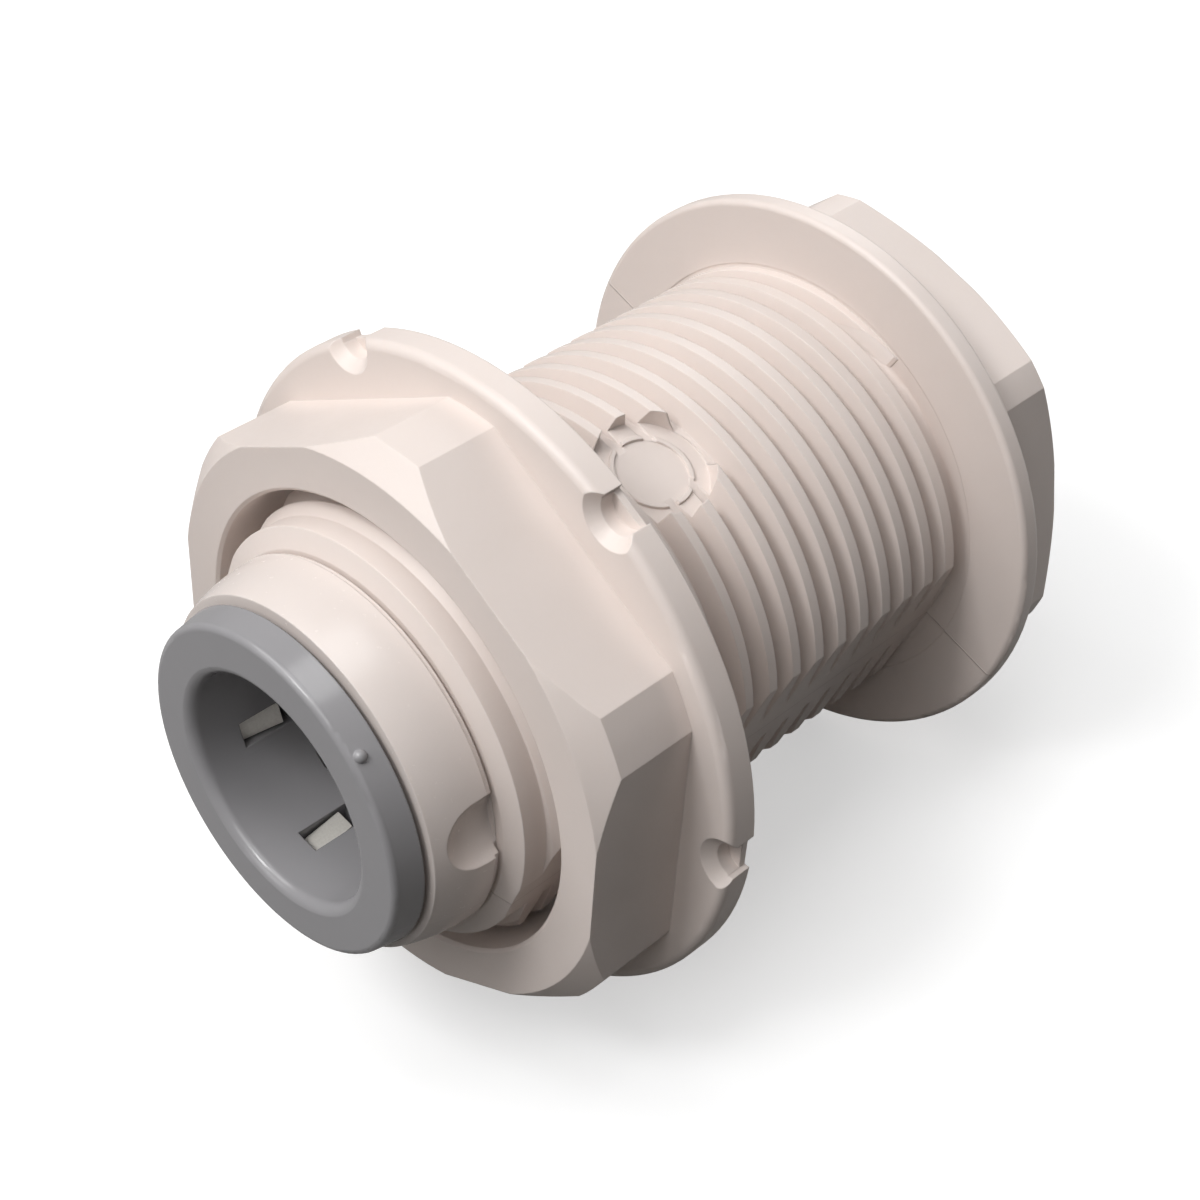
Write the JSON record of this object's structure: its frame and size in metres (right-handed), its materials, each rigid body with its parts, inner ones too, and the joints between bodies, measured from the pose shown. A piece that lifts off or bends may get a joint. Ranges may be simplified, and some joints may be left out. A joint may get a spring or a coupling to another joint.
{
  "type": "tank connector",
  "caption": "Push-fit tank connector: threaded barrel with a flange and thin hexagon head, a flanged backnut, and at each end a retaining cap with a releasable collet for a tube.",
  "frame": {"origin": "on the bore's axis, in the plane of the flange's sealing face", "axes": "+Z along the bore towards the near tube end, past the backnut; +X in the mould's parting plane, towards one of the flats on the thread"},
  "size_m": [0.037, 0.037, 0.0481],
  "materials": {
    "body_plastic": "satin",
    "cap_plastic": "satin",
    "collet_plastic": "satin",
    "seal_rubber": "matte",
    "tooth_steel": "polished"
  },
  "bodies": {
    "fitting": {"body": "body_plastic", "end_cap_front": "cap_plastic", "end_cap_rear": "cap_plastic", "o_ring_front": "seal_rubber", "o_ring_rear": "seal_rubber"},
    "nut": {"backnut": "body_plastic"},
    "front_collet": {"collet_front": "collet_plastic", "tooth_front_1": "tooth_steel", "tooth_front_2": "tooth_steel", "tooth_front_3": "tooth_steel", "tooth_front_4": "tooth_steel", "tooth_front_5": "tooth_steel", "tooth_front_6": "tooth_steel"},
    "rear_collet": {"collet_rear": "collet_plastic", "tooth_rear_1": "tooth_steel", "tooth_rear_2": "tooth_steel", "tooth_rear_3": "tooth_steel", "tooth_rear_4": "tooth_steel", "tooth_rear_5": "tooth_steel", "tooth_rear_6": "tooth_steel"}
  },
  "joints": [
    {"name": "nut_travel", "type": "slide", "parent": "fitting", "child": "nut", "axis": [0, 0, 1], "range_m": [-0.0236, 0.0152]},
    {"name": "front_collet_slide", "type": "slide", "parent": "fitting", "child": "front_collet", "axis": [0, 0, 1], "range_m": [0, 0.0011]},
    {"name": "rear_collet_slide", "type": "slide", "parent": "fitting", "child": "rear_collet", "axis": [0, 0, -1], "range_m": [0, 0.0011]}
  ]
}
